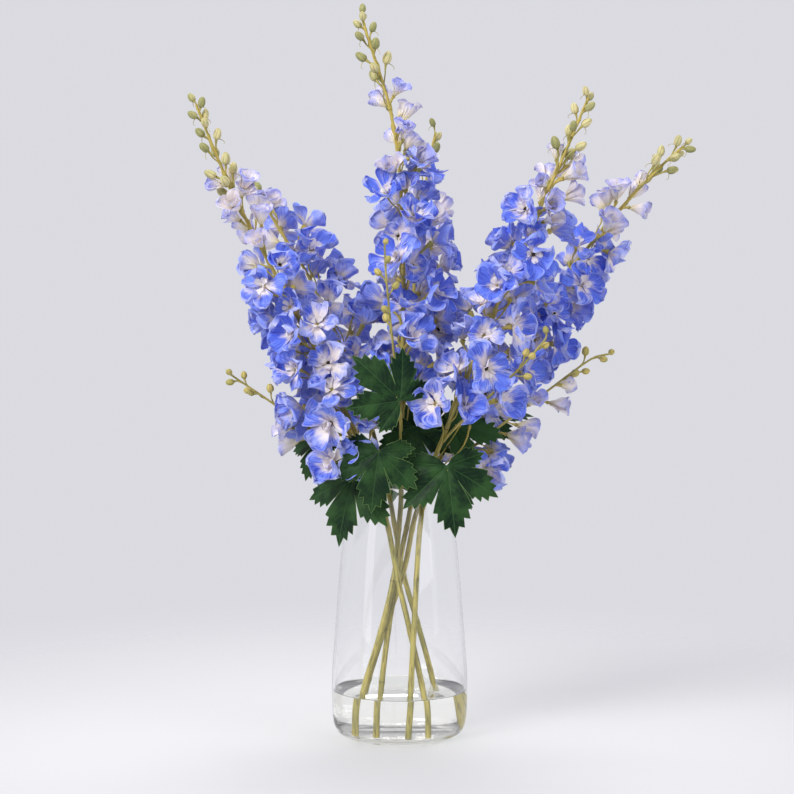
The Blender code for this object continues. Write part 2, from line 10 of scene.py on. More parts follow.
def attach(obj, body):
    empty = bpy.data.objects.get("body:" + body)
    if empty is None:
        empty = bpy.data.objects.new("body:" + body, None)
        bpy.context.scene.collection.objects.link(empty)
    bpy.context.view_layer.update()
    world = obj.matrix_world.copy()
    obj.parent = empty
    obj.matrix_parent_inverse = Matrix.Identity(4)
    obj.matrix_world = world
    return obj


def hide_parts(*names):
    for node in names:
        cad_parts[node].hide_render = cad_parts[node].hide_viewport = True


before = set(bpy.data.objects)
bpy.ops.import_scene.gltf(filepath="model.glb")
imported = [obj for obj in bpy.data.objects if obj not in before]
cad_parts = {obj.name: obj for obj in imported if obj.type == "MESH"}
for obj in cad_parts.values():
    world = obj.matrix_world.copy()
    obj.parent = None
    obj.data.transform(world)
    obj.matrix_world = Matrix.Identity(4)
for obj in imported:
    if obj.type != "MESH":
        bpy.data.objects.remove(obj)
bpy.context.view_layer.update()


# The vase is one piece of blown clear glass, thin in the wall and thick in the foot, with a
# fire-polished round rim. It stands on the ring of its foot, and the middle of the foot is drawn up.
VASE_HEIGHT = 0.299
RIM_RADIUS = 0.0548
BELLY_RADIUS = 0.0795
FOOT_RADIUS = 0.058
GLASS_WALL = 0.003
GLASS_FLOOR = 0.009
FOOT_HOLLOW = 0.0022
VASE_WALL = ((0.007, 0.83), (0.03, 0.935), (0.085, 0.987), (0.22, 0.997), (0.42, 0.950),
             (0.75, 0.843), (0.87, 0.770))  # share of the height, share of the belly's radius
GLASS_CLEAR = (0.996, 0.999, 0.998)
GLASS_DEEP = (0.995, 0.995, 0.972)
GLASS_INDEX = 1.46
LAMP_TINT = (0.97, 0.975, 0.97, 1)
FLOOR_EDGE = 0.905  # share of the belly's radius
FLOOR_FLAT = 0.80
TURNED_SIDES = 128
MERGE_DISTANCE = 2e-6
SHARP_ANGLE = 70


def curve_through(knots, steps):
    """A Catmull-Rom curve: between two knots a point is a cubic whose slope at each knot is half the
    way from the knot before to the knot after. Past each end the curve is carried straight on."""
    knots = np.asarray(knots, float)
    knots = np.vstack([2 * knots[0] - knots[1], knots, 2 * knots[-1] - knots[-2]])
    t = np.linspace(0, 1, steps, endpoint=False)[:, None]
    runs = [0.5 * (2 * b + (c - a) * t + (2 * a - 5 * b + 4 * c - d) * t**2
                   + (3 * b - a - 3 * c + d) * t**3)
            for a, b, c, d in zip(knots, knots[1:], knots[2:], knots[3:])]
    return np.vstack([*runs, knots[-2:-1]])


def sheet(points, uv=None, **marks):
    """Points on a grid, as an array (patches, rows, columns, 3), with the UV of each grid place and
    named numbers, one a patch, that the material reads."""
    rows, columns = points.shape[1:3]
    if uv is None:
        uv = np.stack(np.meshgrid(np.linspace(0, 1, columns), np.linspace(0, 1, rows)), -1)
    return points, np.broadcast_to(uv, (*points.shape[:3], 2)), marks


def make_piece(name, sheets, finish, slot, *nodes):
    """One smooth mesh object of all the sheets: each four neighbours on a grid make a face, and
    points that fall together are merged, which closes poles, seams and edges."""
    near, far = slice(0, -1), slice(1, None)
    corners = [(near, near), (near, far), (far, far), (far, near)]
    places, faces, maps, marks = [], [], [], {}
    start = 0
    for points, uv, numbers in sheets:
        patches, rows, columns = points.shape[:3]
        index = start + np.arange(points.size // 3).reshape(patches, rows, columns)
        faces.append(np.stack([index[:, i, j] for i, j in corners], -1).reshape(-1, 4))
        maps.append(np.stack([uv[:, i, j] for i, j in corners], -2).reshape(-1, 2))
        for mark in ("variety", "back"):
            number = np.broadcast_to(numbers.get(mark, 0.0), patches)
            marks.setdefault(mark, []).append(np.repeat(number, (rows - 1) * (columns - 1)))
        places.append(points.reshape(-1, 3))
        start += points.size // 3
    mesh = bpy.data.meshes.new(name)
    mesh.from_pydata(np.vstack(places).tolist(), [], np.vstack(faces).tolist())
    mesh.uv_layers.new(name="grown").data.foreach_set("uv", np.vstack(maps).astype(np.float32).ravel())
    for mark, numbers in marks.items():
        values = np.concatenate(numbers).astype(np.float32)
        mesh.attributes.new(mark, "FLOAT", "FACE").data.foreach_set("value", values)
    shape = bmesh.new()
    shape.from_mesh(mesh)
    bmesh.ops.remove_doubles(shape, verts=shape.verts, dist=MERGE_DISTANCE)
    shape.to_mesh(mesh)
    shape.free()
    mesh.shade_smooth()
    mesh.set_sharp_from_angle(angle=math.radians(SHARP_ANGLE))
    mesh.materials.append(finish)
    piece = bpy.data.objects.new(name, mesh)
    bpy.context.scene.collection.objects.link(piece)
    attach(piece, "root")
    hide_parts(*nodes)


def turned(profile):
    """A turned surface: each (radius, height) of the profile goes once round the upright axis."""
    around = np.linspace(0, math.tau, TURNED_SIDES + 1)
    radius, height = profile.T[:, :, None]
    points = [radius * np.cos(around), radius * np.sin(around), height + 0 * around]
    return sheet(np.stack(points, -1)[None])

def outer_wall():
    """The outside from the foot's ring to the rim, one curve through the measured radii."""
    knots = [(FOOT_RADIUS, 0.0)] + [(r * BELLY_RADIUS, h * VASE_HEIGHT) for h, r in VASE_WALL]
    return curve_through([*knots, (RIM_RADIUS, VASE_HEIGHT - GLASS_WALL / 2)], 9)


def inner_wall(inset):
    """The inside from the rim to the middle of the floor, moved in by inset."""
    wall = outer_wall()
    wall = wall[wall[:, 1] > 2.6 * GLASS_FLOOR][::-1] - (GLASS_WALL + inset, 0)
    floor = GLASS_FLOOR + inset
    edge = BELLY_RADIUS * FLOOR_EDGE - inset
    rounded = curve_through([wall[-1], (edge + 0.0012, floor + 0.0085), (edge - 0.003, floor + 0.002),
                             (BELLY_RADIUS * FLOOR_FLAT - inset, floor)], 6)
    return np.vstack([wall[:-1], rounded, [(0, floor)]])


def feed(tree, made, inputs):
    """Sets each input of a shader node to a value, or links it to a socket."""
    for key, value in inputs.items():
        if isinstance(value, bpy.types.NodeSocket):
            tree.links.new(value, made.inputs[key])
        else:
            made.inputs[key].default_value = value


def node(tree, kind, inputs=None, **settings):
    """A new shader node of a kind, with its settings and its inputs."""
    made = tree.nodes.new(kind if kind.startswith("NodeGroup") else "ShaderNode" + kind)
    for key, value in settings.items():
        setattr(made, key, value)
    feed(tree, made, inputs or {})
    return made


def blend(tree, share, first, second):
    """One colour mixed into another by a share."""
    first, second = ((*c, 1.0) if isinstance(c, tuple) else c for c in (first, second))
    made = node(tree, "Mix", {0: share, 6: first, 7: second}, data_type="RGBA")
    return made.outputs[2]


def ramp(tree, value, start, end, low=0.0, high=1.0):
    """A value carried smoothly from one range to another, and held at its ends."""
    made = node(tree, "MapRange", {0: value, 1: start, 2: end, 3: low, 4: high},
                interpolation_type="SMOOTHSTEP")
    return made.outputs[0]


def maths(tree, operation, *values):
    return node(tree, "Math", dict(enumerate(values)), operation=operation).outputs[0]


def times(tree, first, second):
    return maths(tree, "MULTIPLY", first, second)


def weighted(tree, total, *terms):
    """A number with some values added to it, each times its own weight."""
    for value, weight in terms:
        total = maths(tree, "MULTIPLY_ADD", value, weight, total)
    return total


def noise(tree, place, scale, detail=3.0, roughness=0.55):
    inputs = {"Vector": place, "Scale": scale, "Detail": detail, "Roughness": roughness}
    return node(tree, "TexNoise", inputs).outputs["Fac"]


def new_material(name):
    """A new material and its tree, with the Principled shader and the output it feeds."""
    made = bpy.data.materials.new(name)
    made.use_nodes = True
    return made, made.node_tree


def dressed(made, inputs, relief, strength, distance):
    """The material, once its Principled shader has its inputs and fine relief from a height."""
    tree = made.node_tree
    bump = node(tree, "Bump", {"Height": relief, "Strength": strength, "Distance": distance})
    feed(tree, tree.nodes["Principled BSDF"], {**inputs, "Normal": bump.outputs[0]})
    return made


def see_through(made, share, tint):
    """Lets a share of the light straight through a material, tinted."""
    tree = made.node_tree
    own = tree.nodes["Principled BSDF"].outputs[0]
    clear = node(tree, "BsdfTransparent", {"Color": tint}).outputs[0]
    mixed = node(tree, "MixShader", {0: share, 1: own, 2: clear})
    feed(tree, tree.nodes["Material Output"], {"Surface": mixed.outputs[0]})


def clear_body(made, inputs, relief, strength, distance):
    """A material clear all through. A lamp's light goes straight through it to what stands behind,
    as it does through thin glass."""
    light = node(made.node_tree, "LightPath").outputs
    either = maths(made.node_tree, "MAXIMUM", light["Is Shadow Ray"], light["Is Diffuse Ray"])
    see_through(made, either, LAMP_TINT)
    return dressed(made, {**inputs, "Transmission Weight": 1.0}, relief, strength, distance)


def glass_finish():
    """Clear glass, a touch yellower where it is thick in the foot, with faint waves from blowing."""
    made, tree = new_material("blown_clear_glass")
    place = node(tree, "TexCoord").outputs["Object"]
    height = node(tree, "SeparateXYZ", {0: place}).outputs[2]
    colour = blend(tree, ramp(tree, height, 0.0, 0.02, 1.0, 0.0), GLASS_CLEAR, GLASS_DEEP)
    smears = ramp(tree, noise(tree, place, 30.0), 0.4, 0.8, 0.0, 0.012)
    return clear_body(made, {"Base Color": colour, "Roughness": smears, "IOR": GLASS_INDEX},
                      noise(tree, place, 14.0, 1.0), 0.05, 0.002)


rim_turn = np.linspace(0, math.pi, 9)
rim_middle = (RIM_RADIUS - GLASS_WALL / 2, VASE_HEIGHT - GLASS_WALL / 2)
rim = rim_middle + GLASS_WALL / 2 * np.stack([np.cos(rim_turn), np.sin(rim_turn)], -1)
hollow = np.stack([FOOT_RADIUS * np.array([0, 0.35, 0.7, 0.88, 0.96]),
                   FOOT_HOLLOW * np.array([1, 0.92, 0.55, 0.15, 0])], -1)
vase_profile = np.vstack([hollow, outer_wall()[:-1], rim, inner_wall(0)[1:]])
make_piece("glass_vase", [turned(vase_profile)], glass_finish(), "glass", "vase")


# The water stands three fingers deep in the vase and creeps a little up the glass at its edge.
# It touches the glass all round, and the stems' cut feet stand in it.
WATER_LEVEL = 0.055
WATER_CREEP = 0.0016
WATER_TOUCH = -0.00015
WATER_COLOUR = (0.978, 0.974, 0.935)
WATER_DUST = (0.97, 0.98, 0.97)
WATER_INDEX = 1.333


def water_finish():
    """Still water with the faintest ripple, and a few duller patches of dust on its surface."""
    made, tree = new_material("still_water")
    place = node(tree, "TexCoord").outputs["Object"]
    dust = ramp(tree, noise(tree, place, 220.0, 4.0), 0.62, 0.75)
    colour = blend(tree, dust, WATER_COLOUR, WATER_DUST)
    return clear_body(made, {"Base Color": colour, "Roughness": 0.0, "IOR": WATER_INDEX},
                      noise(tree, place, 45.0, 1.0), 0.06, 0.001)


wet = inner_wall(WATER_TOUCH)[::-1]
water_edge = np.interp(WATER_LEVEL, *wet.T[::-1])
wet = wet[wet[:, 1] < WATER_LEVEL - 0.001]
back_off = np.array([0, 0.0004, 0.0012, 0.0028, 0.0055, 0.011])
creep = np.stack([water_edge - back_off, WATER_LEVEL + WATER_CREEP * np.exp(-back_off / 0.0014)], -1)
water_profile = np.vstack([wet, creep, [(0, WATER_LEVEL)]])
make_piece("vase_water", [turned(water_profile)], water_finish(), "water", "water")


# Six cut stems stand crossed in the vase and fan out of its mouth, each with fine ridges and slight
# knees where its old leaves have left their scars. Four of them carry a thinner side shoot.
MM = 0.001
STEM_RADIUS = 0.0034
TIP_RADIUS = 0.0014
STEM_TAPER = 1.3
SHOOT_RADII = (0.0018, 0.0011)
STEM_RIDGES = 5
RIDGE_DEPTH = 0.04
KNEE_SPACING = 0.061
KNEE_SWELL = 0.0004
STEM_YELLOW = (0.49, 0.41, 0.102)
STEM_OLIVE = (0.29, 0.265, 0.062)
# The dark colour of the painted shade in the stem's grooves, and of the real scars at its knees.
STEM_SHADE = (0.10, 0.085, 0.022)
STALK_YELLOW = (0.56, 0.43, 0.09)
STALK_OLIVE = (0.34, 0.31, 0.07)
STEM_POINTS = {  # in millimetres, from the foot to the tip
    "left_front": ((31, -52, 9.8), (28, -49, 55), (12, -40, 130), (-2, -31, 190), (-13, -22, 248),
                   (-25, -13, 292), (-41, -20, 337), (-82, -30, 427), (-122, -40, 508),
                   (-159, -47, 577), (-193, -52, 646), (-219, -58, 709), (-230, -60, 738)),
    "left_back": ((44, 38, 9.8), (40, 36, 55), (22, 31, 125), (5, 27, 185), (-6, 24, 245),
                  (-14, 22, 287), (-39, 42, 379), (-77, 58, 472), (-110, 66, 540), (-147, 70, 599),
                  (-162, 70, 629)),
    "centre_front": ((-47, -40, 9.8), (-43, -38, 55), (-20, -30, 135), (-6, -17, 195), (-1, -8, 245),
                     (2, 1, 290), (3, -4, 396), (4, -8, 547), (0, -10, 657), (-12, -10, 736),
                     (-34, -6, 806), (-43, -5, 836)),
    "centre_back": ((-24, -40, 9.8), (-22, -38, 55), (-13, -24, 130), (-2, -7, 190), (4, 4, 225),
                    (12, 19, 262), (15, 28, 292), (14, 65, 412), (16, 90, 500), (23, 108, 587),
                    (36, 118, 670), (43, 120, 703)),
    "right_front": ((9, -57, 9.8), (12, -55, 55), (16, -48, 130), (20, -34, 205), (24, -24, 255),
                    (32, -14, 304), (58, -30, 376), (92, -44, 463), (123, -55, 539),
                    (156, -64, 614), (188, -68, 687), (212, -70, 745)),
    "right_back": ((-44, -20, 9.8), (-40, -18, 55), (-17, -5, 130), (5, 5, 195), (18, 3, 258),
                   (36, 7, 300), (59, 20, 346), (118, 38, 434), (174, 52, 510), (224, 60, 573),
                   (270, 62, 627), (314, 61, 672), (333, 60, 688)),
}
SHOOT_POINTS = {
    "left_front": ((-37, -18, 326), (-63, -20, 340), (-115, -24, 373), (-158, -34, 404),
                   (-194, -44, 430)),
    "centre_front": ((2, 0, 318), (1, -19, 346), (0, -38, 392), (-7, -56, 459), (-15, -68, 540),
                     (-17, -70, 579)),
    "right_front": ((50, -26, 350), (64, -40, 368), (103, -62, 407), (140, -90, 446),
                    (165, -98, 476)),
    "right_back": ((37, 9, 304), (59, 4, 320), (111, 6, 360), (171, 13, 404), (222, 18, 441),
                   (243, 20, 447)),
}


def unit(vectors):
    return vectors / np.linalg.norm(vectors, axis=-1, keepdims=True)


class Route:
    """The middle line of a stem, read by the distance from its foot."""

    def __init__(self, points):
        self.points = curve_through(np.array(points, float) * MM, 24)
        steps = np.linalg.norm(np.diff(self.points, axis=0), axis=1)
        self.along = np.concatenate([[0], np.cumsum(steps)])
        self.length = self.along[-1]

    def at(self, distance):
        return np.stack([np.interp(distance, self.along, axis) for axis in self.points.T], -1)

    def at_height(self, height):
        return self.at(np.interp(height, self.points[:, 2], self.along))

    def heading(self, distance):
        reach = 0.002
        return unit(self.at(distance + reach) - self.at(distance - reach))


def tubes(paths, radii, sides, ridges=0):
    """Round tubes along paths: at each point of a path a ring stands square to the path, on two
    directions made from the path's own heading and the axis it leans on least. A ring without
    width closes each end. The map gives the share of a turn and the distance along the path."""
    heading = unit(np.gradient(paths, axis=1))
    least = np.eye(3)[np.abs(heading.mean(axis=1)).argmin(axis=1)][:, None]
    steps = np.linalg.norm(np.diff(paths, axis=1), axis=2)
    along = np.cumsum(np.pad(steps, ((0, 0), (2, 1))), axis=1)
    radii = np.pad(np.broadcast_to(radii, paths.shape[:2]), ((0, 0), (1, 1)))
    paths, heading = (np.pad(rows, ((0, 0), (1, 1), (0, 0)), mode="edge") for rows in (paths, heading))
    first = unit(np.cross(least, heading))
    second = np.cross(heading, first)
    angle = np.linspace(0, math.tau, sides + 1)
    out = first[:, :, None] * np.cos(angle)[:, None] + second[:, :, None] * np.sin(angle)[:, None]
    ridge = 1 + RIDGE_DEPTH * bool(ridges) * np.cos(ridges * angle)
    rings = paths[:, :, None] + out * (radii[:, :, None] * ridge)[..., None]
    return sheet(rings, np.stack(np.broadcast_arrays(angle / math.tau, along[:, :, None]), -1))


def new_group(name, inputs, outputs):
    """A node group with its named sockets, vectors for a place or a map and else numbers, and what
    comes in by its inputs."""
    tree = bpy.data.node_groups.new(name, "ShaderNodeTree")
    for way, sockets in (("INPUT", inputs), ("OUTPUT", outputs)):
        for socket in sockets:
            kind = "NodeSocketVector" if socket in ("Place", "Map") else "NodeSocketFloat"
            tree.interface.new_socket(socket, in_out=way, socket_type=kind)
    return tree, node(tree, "NodeGroupInput").outputs


def fibre_group():
    """Plant fibres: fine streaks that run the length of a stem, and slow blotches of colour."""
    inputs = ("Place", "Map", "Fineness", "Blotches")
    tree, inside = new_group("plant_fibres", inputs, ("Streaks", "Patches"))
    stretched = node(tree, "Mapping", {0: inside["Map"], 3: (1.0, 4.0, 1.0)})
    streaks = noise(tree, stretched.outputs[0], inside["Fineness"], 4.0, 0.6)
    patches = noise(tree, inside["Place"], inside["Blotches"], 3.0)
    node(tree, "NodeGroupOutput", {"Streaks": streaks, "Patches": patches})
    return tree


plant_fibres = fibre_group()


def fibres(tree, fineness, blotches):
    """The streaks and the patches of the fibre group, placed in a material."""
    place = node(tree, "TexCoord").outputs
    inputs = {"Place": place["Object"], "Map": place["UV"], "Fineness": fineness, "Blotches": blotches}
    return node(tree, "Group", inputs, node_tree=plant_fibres).outputs[:2]


def grown(tree):
    """The two coordinates of the piece's own map."""
    place = node(tree, "UVMap", uv_map="grown").outputs[0]
    return node(tree, "SeparateXYZ", {0: place}).outputs[:2]


def mark(tree, name):
    """A number that each face of the piece carries."""
    return node(tree, "Attribute", attribute_name=name).outputs["Fac"]


def stem_finish(name, bright, deep, shade, high):
    """Waxy stem skin: bright where the light has bleached it, deeper in soft blotches, with painted shade
    in its grooves, and darker in the scar at each knee. Towards the tip of a long stem it takes on its
    high colour."""
    made, tree = new_material(name)
    streaks, patches = fibres(tree, 9.0, 30.0)
    along = grown(tree)[1]
    low = ramp(tree, along, 0.28, 0.60, 1.0, 0.35)
    colour = blend(tree, ramp(tree, patches, 0.36, 0.70), bright, deep)
    colour = blend(tree, low, high, colour)
    # Painted shade: the streaks are darkened towards the shade colour as grooves in shadow, less of it
    # towards the tip.
    groove = times(tree, ramp(tree, streaks, 0.48, 0.64, 0.0, 0.75), low)
    colour = blend(tree, groove, colour, shade)
    knee = maths(tree, "COSINE", times(tree, along, math.tau / KNEE_SPACING))
    scar = times(tree, ramp(tree, knee, 0.990, 1.0, 0.0, 0.6), ramp(tree, patches, 0.45, 0.60))
    colour = blend(tree, scar, colour, shade)
    return dressed(made, {"Base Color": colour, "Roughness": ramp(tree, streaks, 0.3, 0.7, 0.38, 0.6),
                          "Subsurface Weight": 0.08, "Subsurface Scale": 0.001}, streaks, 0.35, 0.0004)


routes = {name: Route(points) for name, points in STEM_POINTS.items()}
shoots = {name: Route(points) for name, points in SHOOT_POINTS.items()}
stem_skin = stem_finish("stem_skin", STEM_YELLOW, STEM_OLIVE, STEM_SHADE, STALK_YELLOW)
stalk_skin = stem_finish("stalk_skin", STALK_YELLOW, STALK_OLIVE, STEM_OLIVE, STALK_YELLOW)


def stem_surface(route):
    """The stem as a tube whose radius falls with a power of the distance, ridged, with a small
    swelling at every knee."""
    distance = np.linspace(0, route.length, int(route.length / 0.0034))
    radius = STEM_RADIUS + (TIP_RADIUS - STEM_RADIUS) * (distance / route.length) ** STEM_TAPER
    radius = radius + KNEE_SWELL * np.clip(np.cos(distance / KNEE_SPACING * math.tau), 0, 1)**24
    radius[0] *= 0.9
    return tubes(route.at(distance)[None], radius[None], 15, STEM_RIDGES)


def shoot_surface(route):
    distance = np.linspace(0, route.length, 36)
    radius = np.interp(distance, (0, route.length), SHOOT_RADII)
    return tubes(route.at(distance)[None], radius[None], 9)


# The spikes' tips carry closed buds on short stalks, five sepals folded edge to edge, each with the
# thread of its spur curling from the base. The side shoots end in smaller round buds.
GOLDEN_ANGLE = math.radians(137.5)
STALK_RADIUS = 0.0009
STALK_SIDES = 6
SPUR_LENGTH = 0.012
BUD_SHAPE = {"bud": (0.0146, 0.0102), "round": (0.0100, 0.0084)}  # length, width
BUD_ZONES = {  # metres below the tip where it starts and ends, how many, the first one's angle in degrees
    "left_front": (0.002, 0.123, 14, 70), "left_back": (0.002, 0.010, 2, 300),
    "centre_front": (0.002, 0.088, 11, 130), "centre_back": (0.002, 0.058, 4, 340),
    "right_front": (0.002, 0.090, 10, 320), "right_back": (0.002, 0.063, 9, 70),
}
ROUND_BUD_ZONES = {
    "left_front": (0.002, 0.060, 6, 240), "centre_front": (0.002, 0.100, 6, 100),
    "right_front": (0.002, 0.060, 5, 0), "right_back": (0.002, 0.060, 5, 80),
}
HABIT = {  # each kind's length of stalk, lean in degrees, size, and how far below it the stalk leaves the
    # stem, all at a zone's top and at its bottom; how much it looks up, nods and may be shut; its tone
    "bud": ((0.008, 0.020), (25, 38), (0.80, 1.12), (0.006, 0.022), 1.3, 0.2, 0, 0.0),
    "round": ((0.006, 0.014), (35, 50), (0.90, 1.12), (0.003, 0.006), 1.0, 0.2, 0, 0.0),
    "pale": ((0.020, 0.030), (34, 44), (0.90, 1.15), (0.012, 0.020), 0.9, 0.25, 0, 0.0),
    "blue": ((0.037, 0.050), (46, 63), (0.90, 1.05), (0.014, 0.080), 0.50, 0.4, 1, 0.0),
    "low_pale": ((0.012, 0.018), (50, 60), (0.90, 1.10), (0.004, 0.006), 0.8, 0.3, 0, 0.0),
    "low_blue": ((0.030, 0.036), (80, 95), (0.90, 1.00), (0.006, 0.008), 0.0, 0.3, 1, 0.0),
    "later_pale": ((0.014, 0.024), (25, 42), (0.86, 1.00), (0.008, 0.014), 0.9, 0.4, 1, 0.0),
    "later_blue": ((0.020, 0.028), (40, 62), (0.74, 0.88), (0.010, 0.022), 0.45, 0.7, 1, 0.15),
}
BUD_GREEN = (0.30, 0.30, 0.11)
BUD_CREAM = (0.66, 0.59, 0.29)
BUD_DARK = (0.15, 0.16, 0.07)
ROUND_YELLOW = (0.58, 0.47, 0.14)
ROUND_GREEN = (0.38, 0.34, 0.09)


def flowers(route, zone, kind, seed):
    """Where each flower of a zone stands, as arrays: the foot of its stalk, the stem's heading
    there, the head, a frame that looks outwards, its size, how far it is shut and how pale it is.
    Each is 137.5 degrees on from the last, and where a zone names a side, it draws its flowers
    round to it."""
    start, end, count, first, *side_and_draw = zone
    *pairs, up, nod, shut, tone = HABIT[kind]
    draws = np.random.default_rng(seed).uniform(-1, 1, (count, 5))
    nods = np.random.default_rng(seed + 500).uniform(-1, 1, (count, 4))
    tones = np.random.default_rng(seed + 900).uniform(-1, 1, count)
    share = np.linspace(0, 1, count) if count > 1 else np.array([0.5])
    stalk, lean, size, drop = (np.interp(share, (0, 1), pair) for pair in pairs)
    below_tip = start + (end - start) * share + 0.002 * draws[:, 0]
    distance = route.length - np.maximum(below_tip, 0.001)
    along = route.heading(distance)
    side = unit(np.cross(along, (0.0, 1.0, 0.0)))
    front = np.cross(side, along)
    azimuth = math.radians(first) + GOLDEN_ANGLE * np.arange(count) + 0.2 * draws[:, 1]
    if side_and_draw:
        outer = math.radians(side_and_draw[0])
        azimuth = outer + side_and_draw[1] * ((azimuth - outer + math.pi) % math.tau - math.pi)
    out = side * np.cos(azimuth)[:, None] + front * np.sin(azimuth)[:, None]
    lean = np.radians(lean + 5 * draws[:, 2])[:, None]
    stalk = (stalk * (1 + 0.12 * draws[:, 3]))[:, None]
    look = unit(out + along * up + nod * nods[:, :3])
    frames = [Vector(way).to_track_quat("Z", "Y").to_matrix() @ Matrix.Rotation(turn, 3, "Z")
              for way, turn in zip(look, azimuth)]
    return {"foot": route.at(distance - drop * (1 + 0.3 * nods[:, 2])), "along": along, "out": out,
            "head": route.at(distance) + stalk * (along * np.cos(lean) + out * np.sin(lean)),
            "look": look, "frame": np.array(frames), "size": size * (1 + 0.08 * draws[:, 4]),
            "shut": shut * np.clip(nods[:, 3], 0, 1), "tone": tone + 0.3 * tones}
def set_in_place(local, frames, heads):
    """Turns each patch's points by its own frame and carries them to its head."""
    return np.einsum("nij,nrcj->nrci", frames, local) + heads[:, None, None]


def bends(start, leave, end, arrive, count):
    """Cubic curves that leave one point one way and reach another point another way."""
    t = np.linspace(0, 1, count)[:, None]
    a, b, c, d = (p[:, None] for p in (start, start + leave, end - arrive, end))
    return (1 - t)**3 * a + 3 * t * (1 - t)**2 * b + 3 * t**2 * (1 - t) * c + t**3 * d


def stalks(spots, back, cup, joint=0.0):
    """Flower stalks that leave along the stem, sway once to each side, bend out and open as a funnel
    into the flower's back."""
    size = spots["size"][:, None]
    end = spots["head"] - spots["look"] * back * size
    span = np.linalg.norm(end - spots["foot"], axis=1, keepdims=True)
    paths = bends(spots["foot"], 0.45 * span * unit(spots["along"] + 0.15 * spots["out"]),
                  end, 0.35 * span * spots["look"], 14)
    t = np.linspace(0, 1, 14)
    aside = np.cross(spots["along"], spots["out"]) * 0.07 * span
    paths = paths + aside[:, None] * (np.sin(math.tau * t) * np.sin(math.pi * t))[:, None]
    radii = STALK_RADIUS * (1.25 - 0.35 * np.sin(math.pi * t)) + (cup - STALK_RADIUS) * t**9
    radii = radii + joint * np.exp(-((t - 0.74) / 0.05)**2)
    return tubes(paths, radii, STALK_SIDES)


def bud_bodies(spots, kind, seed, rows=10, sides=15):
    """Closed buds: an oval, a little fuller below, with rings closer together at its blunt ends, and
    pinched along the five seams where the sepals meet."""
    length, width = BUD_SHAPE[kind]
    s = 0.5 - 0.5 * np.cos(math.pi * np.linspace(0, 1, rows + 1))[:, None]
    angle = np.linspace(0, math.tau, sides + 1)
    seams = 1 - 0.09 * (1 - np.abs(np.sin(2.5 * angle)))**2
    swell = np.sqrt(1 - np.abs(2 * s**0.90 - 1)**2.2) * (1.03 - 0.16 * s)
    radius = width / 2 * swell * seams
    local = np.stack([radius * np.cos(angle + 0.5 * s), radius * np.sin(angle + 0.5 * s),
                      length * s + 0 * angle], -1)
    local = local * spots["size"][:, None, None, None]
    variety = np.random.default_rng(seed + 7).uniform(0, 1, len(local))
    return sheet(set_in_place(local, spots["frame"], spots["head"]), variety=variety)


def spurs(spots):
    """Hair-thin spurs that leave a bud's back and curl down."""
    reach = (SPUR_LENGTH * spots["size"])[:, None]
    start = spots["head"] + 0.12 * reach * spots["look"]
    end = start + reach * (0.45 * spots["out"] - 0.75 * spots["along"])
    paths = bends(start, 0.55 * reach * (spots["out"] - 0.3 * spots["look"]), end,
                  -0.4 * reach * spots["out"], 8)
    return tubes(paths, np.linspace(0.0005, 0.0002, 8)[None], 5)


def bud_finish(name, bright, deep, dark):
    """Downy bud skin: cream on the crown of each sepal, green below, dark along the seams."""
    made, tree = new_material(name)
    streaks, patches = fibres(tree, 11.0, 70.0)
    across, up = grown(tree)
    seam = maths(tree, "ABSOLUTE", maths(tree, "SINE", times(tree, across, 2.5 * math.tau)))
    green = weighted(tree, 0.0, (patches, 0.6), (mark(tree, "variety"), 0.35))
    colour = blend(tree, ramp(tree, green, 0.33, 0.62), bright, deep)
    colour = blend(tree, ramp(tree, seam, 0.0, 0.38, 0.75, 0.0), colour, dark)
    colour = blend(tree, ramp(tree, up, 0.70, 1.0, 0.0, 0.6), colour, deep)
    return dressed(made, {"Base Color": colour, "Roughness": ramp(tree, streaks, 0.3, 0.7, 0.5, 0.7),
                          "Subsurface Weight": 0.10, "Subsurface Scale": 0.002}, streaks, 0.4, 0.0004)


bud_skin = bud_finish("bud_skin", BUD_CREAM, BUD_GREEN, BUD_DARK)
round_bud_skin = bud_finish("round_bud_skin", ROUND_YELLOW, ROUND_GREEN, BUD_DARK)

for seed, name in enumerate(STEM_POINTS):
    bud_spots = flowers(routes[name], BUD_ZONES[name], "bud", seed)
    surfaces = [stem_surface(routes[name]), stalks(bud_spots, 0.0, 0.0016), spurs(bud_spots)]
    if name in shoots:
        surfaces.append(shoot_surface(shoots[name]))
        round_spots = flowers(shoots[name], ROUND_BUD_ZONES[name], "round", seed + 40)
        surfaces.append(stalks(round_spots, 0.0, 0.0014))
        round_buds = bud_bodies(round_spots, "round", seed + 40)
        make_piece(name + "_round_buds", [round_buds], round_bud_skin, "stem", "stem_" + name)
    make_piece(name + "_stem", surfaces, stem_skin, "stem", "stem_" + name)
    make_piece(name + "_buds", [bud_bodies(bud_spots, "bud", seed)], bud_skin, "stem", "stem_" + name)


# Twelve leaves hang in a collar round the vase's mouth. Each is a palm of five toothed lobes with a
# rib down every lobe, dark and waxy above, paler below, on a stalk of its own from one of the stems.
LOBES = ((-104, 0.60), (-54, 0.86), (0, 1.0), (54, 0.86), (104, 0.60))  # degrees, share of the length
TEETH = ((0, 1.0), (4.5, 0.86), (9.5, 0.895), (11, 0.765), (17, 0.815), (18.5, 0.69), (24, 0.70),
         (25.6, 0.50))  # degrees off the rib, share of the lobe's length
NOTCH_REACH = 0.27
LEAF_RIM_RADIUS = 0.00038
HEEL = (34, 0.16)
LEAF_ARCH = 0.28
LEAF_FOLD = 0.11
BLADE_THICKNESS = 0.0007
LEAF_STALK_RADIUS = 0.0013
LEAF_DARK = (0.004, 0.018, 0.007)
LEAF_MID = (0.024, 0.070, 0.018)
LEAF_VEIN = (0.040, 0.100, 0.032)
LEAF_EDGE = (0.13, 0.23, 0.06)
LEAF_BACK = (0.040, 0.105, 0.032)
